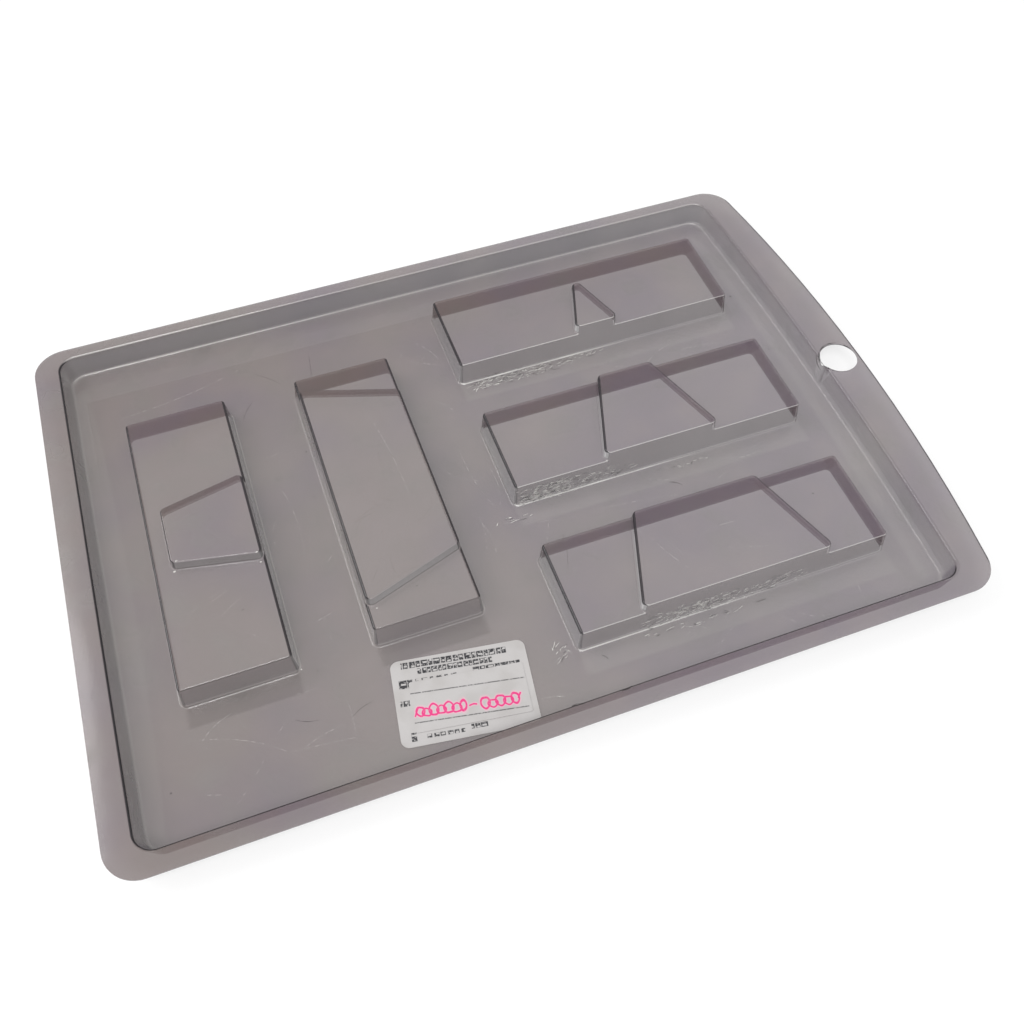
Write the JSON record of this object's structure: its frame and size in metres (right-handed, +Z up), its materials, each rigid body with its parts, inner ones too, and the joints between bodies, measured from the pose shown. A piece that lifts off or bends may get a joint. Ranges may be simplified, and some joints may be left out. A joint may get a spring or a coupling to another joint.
{
  "type": "chocolate bar mould",
  "caption": "Clear thermoformed plastic mould for chocolate bars: a shallow rimmed tray with raised rectangular bar cavities, a stepped panel on each, and a hanging hole.",
  "frame": {"origin": "centre of the bounding box at the underside of the tray floor", "axes": "+X along the long side towards the edge with the hanging hole, +Y across, away from the stickers' side, +Z up, out of the raised cavities"},
  "size_m": [0.24, 0.1694, 0.0115],
  "materials": {
    "clear_sheet": "clear, faintly smoky thermoformed sheet with fine scratches",
    "printed_paper": "coated paper with plain bars of print",
    "ruled_paper": "coated paper with two ruled lines and pink strokes"
  },
  "bodies": {
    "root": {"mould_sheet": "clear_sheet", "product_label": "printed_paper", "overlay_label": "ruled_paper"}
  },
  "joints": []
}
